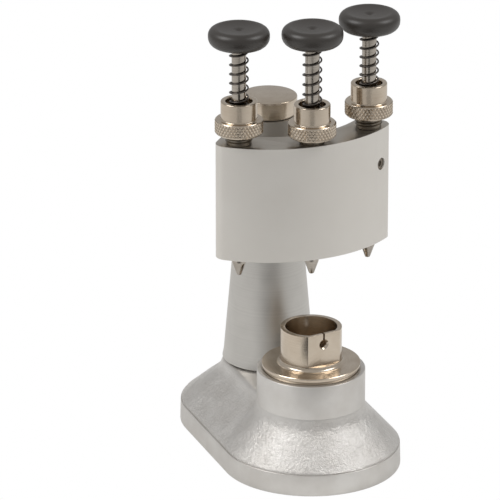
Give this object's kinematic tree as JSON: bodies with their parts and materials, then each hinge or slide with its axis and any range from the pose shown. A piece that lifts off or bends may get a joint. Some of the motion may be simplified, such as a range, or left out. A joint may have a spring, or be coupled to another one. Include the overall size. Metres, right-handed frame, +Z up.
{
  "type": "watch hand setting press",
  "caption": "Bench press with sprung spindles in a swivelling head on a tapered pillar, over a lift-out movement holder in a cast base.",
  "frame": {"origin": "on the bench plane, under the axis of the middle spindle and of the movement holder", "axes": "+Z up, -Y the front, +Y towards the pillar, +X to the right seen from the front"},
  "size_m": [0.0662, 0.1004, 0.1547],
  "materials": {
    "cast_aluminium": "cast, painted silver, with a hammered texture",
    "satin_aluminium": "bead-blasted satin",
    "nickel": "nickel plate, turned",
    "steel": "ground",
    "spring_steel": "drawn wire, oil-tempered",
    "black_steel": "black oxide",
    "bronze": "turned",
    "black_plastic": "moulded, satin",
    "sole_rubber": "matte"
  },
  "bodies": {
    "base": {"base_casting": "cast_aluminium", "base_sole": "sole_rubber", "pillar": "satin_aluminium", "pillar_screw": "black_steel", "pillar_washer": "steel", "pivot_pin": "steel", "thrust_washer": "bronze", "pivot_cap": "nickel"},
    "head": {"head_block": "satin_aluminium", "pivot_bush": "bronze", "index_ball": "steel", "index_spring": "spring_steel", "index_screw": "black_steel", "lock_screw": "black_steel", "left_spring": "spring_steel", "left_spigot": "black_steel", "left_guide_bush": "bronze", "middle_spring": "spring_steel", "middle_spigot": "black_steel", "middle_guide_bush": "bronze", "right_spring": "spring_steel", "right_spigot": "black_steel", "right_guide_bush": "bronze"},
    "holder": {"movement_holder": "nickel"},
    "left_spindle": {"left_rod": "steel", "left_tip": "steel", "left_knob": "black_plastic"},
    "left_seat": {"left_spring_seat": "steel"},
    "left_nut": {"left_stop_nut": "nickel"},
    "middle_spindle": {"middle_rod": "steel", "middle_tip": "steel", "middle_knob": "black_plastic"},
    "middle_seat": {"middle_spring_seat": "steel"},
    "middle_nut": {"middle_stop_nut": "nickel"},
    "right_spindle": {"right_rod": "steel", "right_tip": "steel", "right_knob": "black_plastic"},
    "right_seat": {"right_spring_seat": "steel"},
    "right_nut": {"right_stop_nut": "nickel"}
  },
  "joints": [
    {"name": "head_swivel", "type": "hinge", "parent": "base", "child": "head", "pos_m": [0, 0.04, 0.09], "axis": [0, 0, 1], "range_deg": [-35, 35]},
    {"name": "holder_lift", "type": "slide", "parent": "base", "child": "holder", "axis": [0, 0, 1], "range_m": [0, 0.013]},
    {"name": "left_press", "type": "slide", "parent": "head", "child": "left_spindle", "axis": [0, 0, -1], "range_m": [0, 0.0162], "stiffness_N_per_m": 300, "springref_m": -0.005, "deforming": ["left_spring"]},
    {"name": "left_nut_lift", "type": "slide", "parent": "head", "child": "left_seat", "axis": [0, 0, -1], "range_m": [-0.0005, 0.0037]},
    {"name": "left_nut_turn", "type": "hinge", "parent": "left_seat", "child": "left_nut", "pos_m": [-0.02294, 0.00723, 0.12], "axis": [0, 0, -1], "range_deg": [-180.5, 1332.5]},
    {"name": "middle_press", "type": "slide", "parent": "head", "child": "middle_spindle", "axis": [0, 0, -1], "range_m": [0, 0.0178], "stiffness_N_per_m": 300, "springref_m": -0.005, "deforming": ["middle_spring"]},
    {"name": "middle_nut_lift", "type": "slide", "parent": "head", "child": "middle_seat", "axis": [0, 0, -1], "range_m": [-0.0005, 0.002]},
    {"name": "middle_nut_turn", "type": "hinge", "parent": "middle_seat", "child": "middle_nut", "pos_m": [0, 0, 0.12], "axis": [0, 0, -1], "range_deg": [-180.5, 720.5]},
    {"name": "right_press", "type": "slide", "parent": "head", "child": "right_spindle", "axis": [0, 0, -1], "range_m": [0, 0.0156], "stiffness_N_per_m": 300, "springref_m": -0.005, "deforming": ["right_spring"]},
    {"name": "right_nut_lift", "type": "slide", "parent": "head", "child": "right_seat", "axis": [0, 0, -1], "range_m": [-0.0005, 0.0043]},
    {"name": "right_nut_turn", "type": "hinge", "parent": "right_seat", "child": "right_nut", "pos_m": [0.02294, 0.00723, 0.12], "axis": [0, 0, -1], "range_deg": [-180.5, 1548.5]}
  ],
  "couplings": [
    {"joint": "left_nut_turn", "follows": "left_nut_lift", "rad_per_m": 6283.2},
    {"joint": "middle_nut_turn", "follows": "middle_nut_lift", "rad_per_m": 6283.2},
    {"joint": "right_nut_turn", "follows": "right_nut_lift", "rad_per_m": 6283.2}
  ]
}
